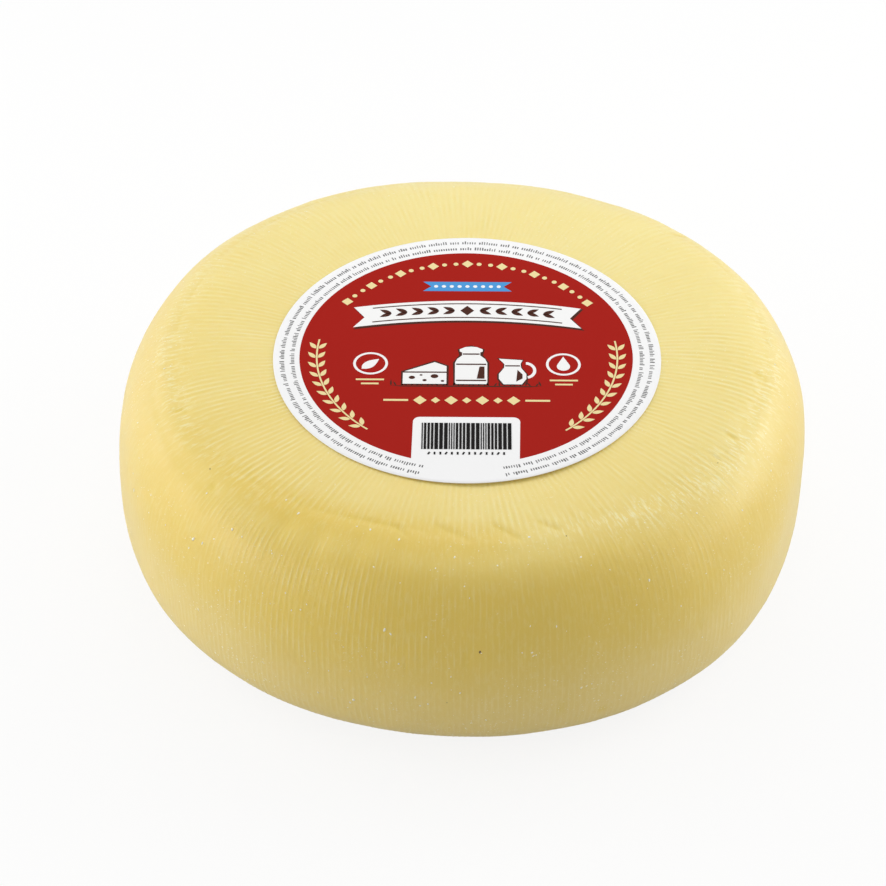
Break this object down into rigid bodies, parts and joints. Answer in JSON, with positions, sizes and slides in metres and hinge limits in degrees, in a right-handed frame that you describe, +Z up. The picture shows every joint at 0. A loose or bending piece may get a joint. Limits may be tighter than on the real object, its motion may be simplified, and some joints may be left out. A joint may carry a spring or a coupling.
{
  "type": "soft cheese wheel",
  "caption": "Whole round soft cow's-milk cheese with bulging sides, rounded shoulders, cloth-marked rind and a plain round paper label lying on its flat top.",
  "frame": {"origin": "centre of the flat foot that the wheel rests on", "axes": "+Z up along the wheel's axis; -Y is the front, from which the label reads upright; +X is its right-hand side"},
  "size_m": [0.2, 0.1999, 0.0689],
  "materials": {
    "rind": "pale yellow, smooth and slightly waxy natural rind with fine cloth ribs",
    "label_paper": "coated paper printed dark red with a white rim and panel"
  },
  "bodies": {
    "root": {"cheese_wheel": "rind", "paper_label": "label_paper"}
  },
  "joints": []
}
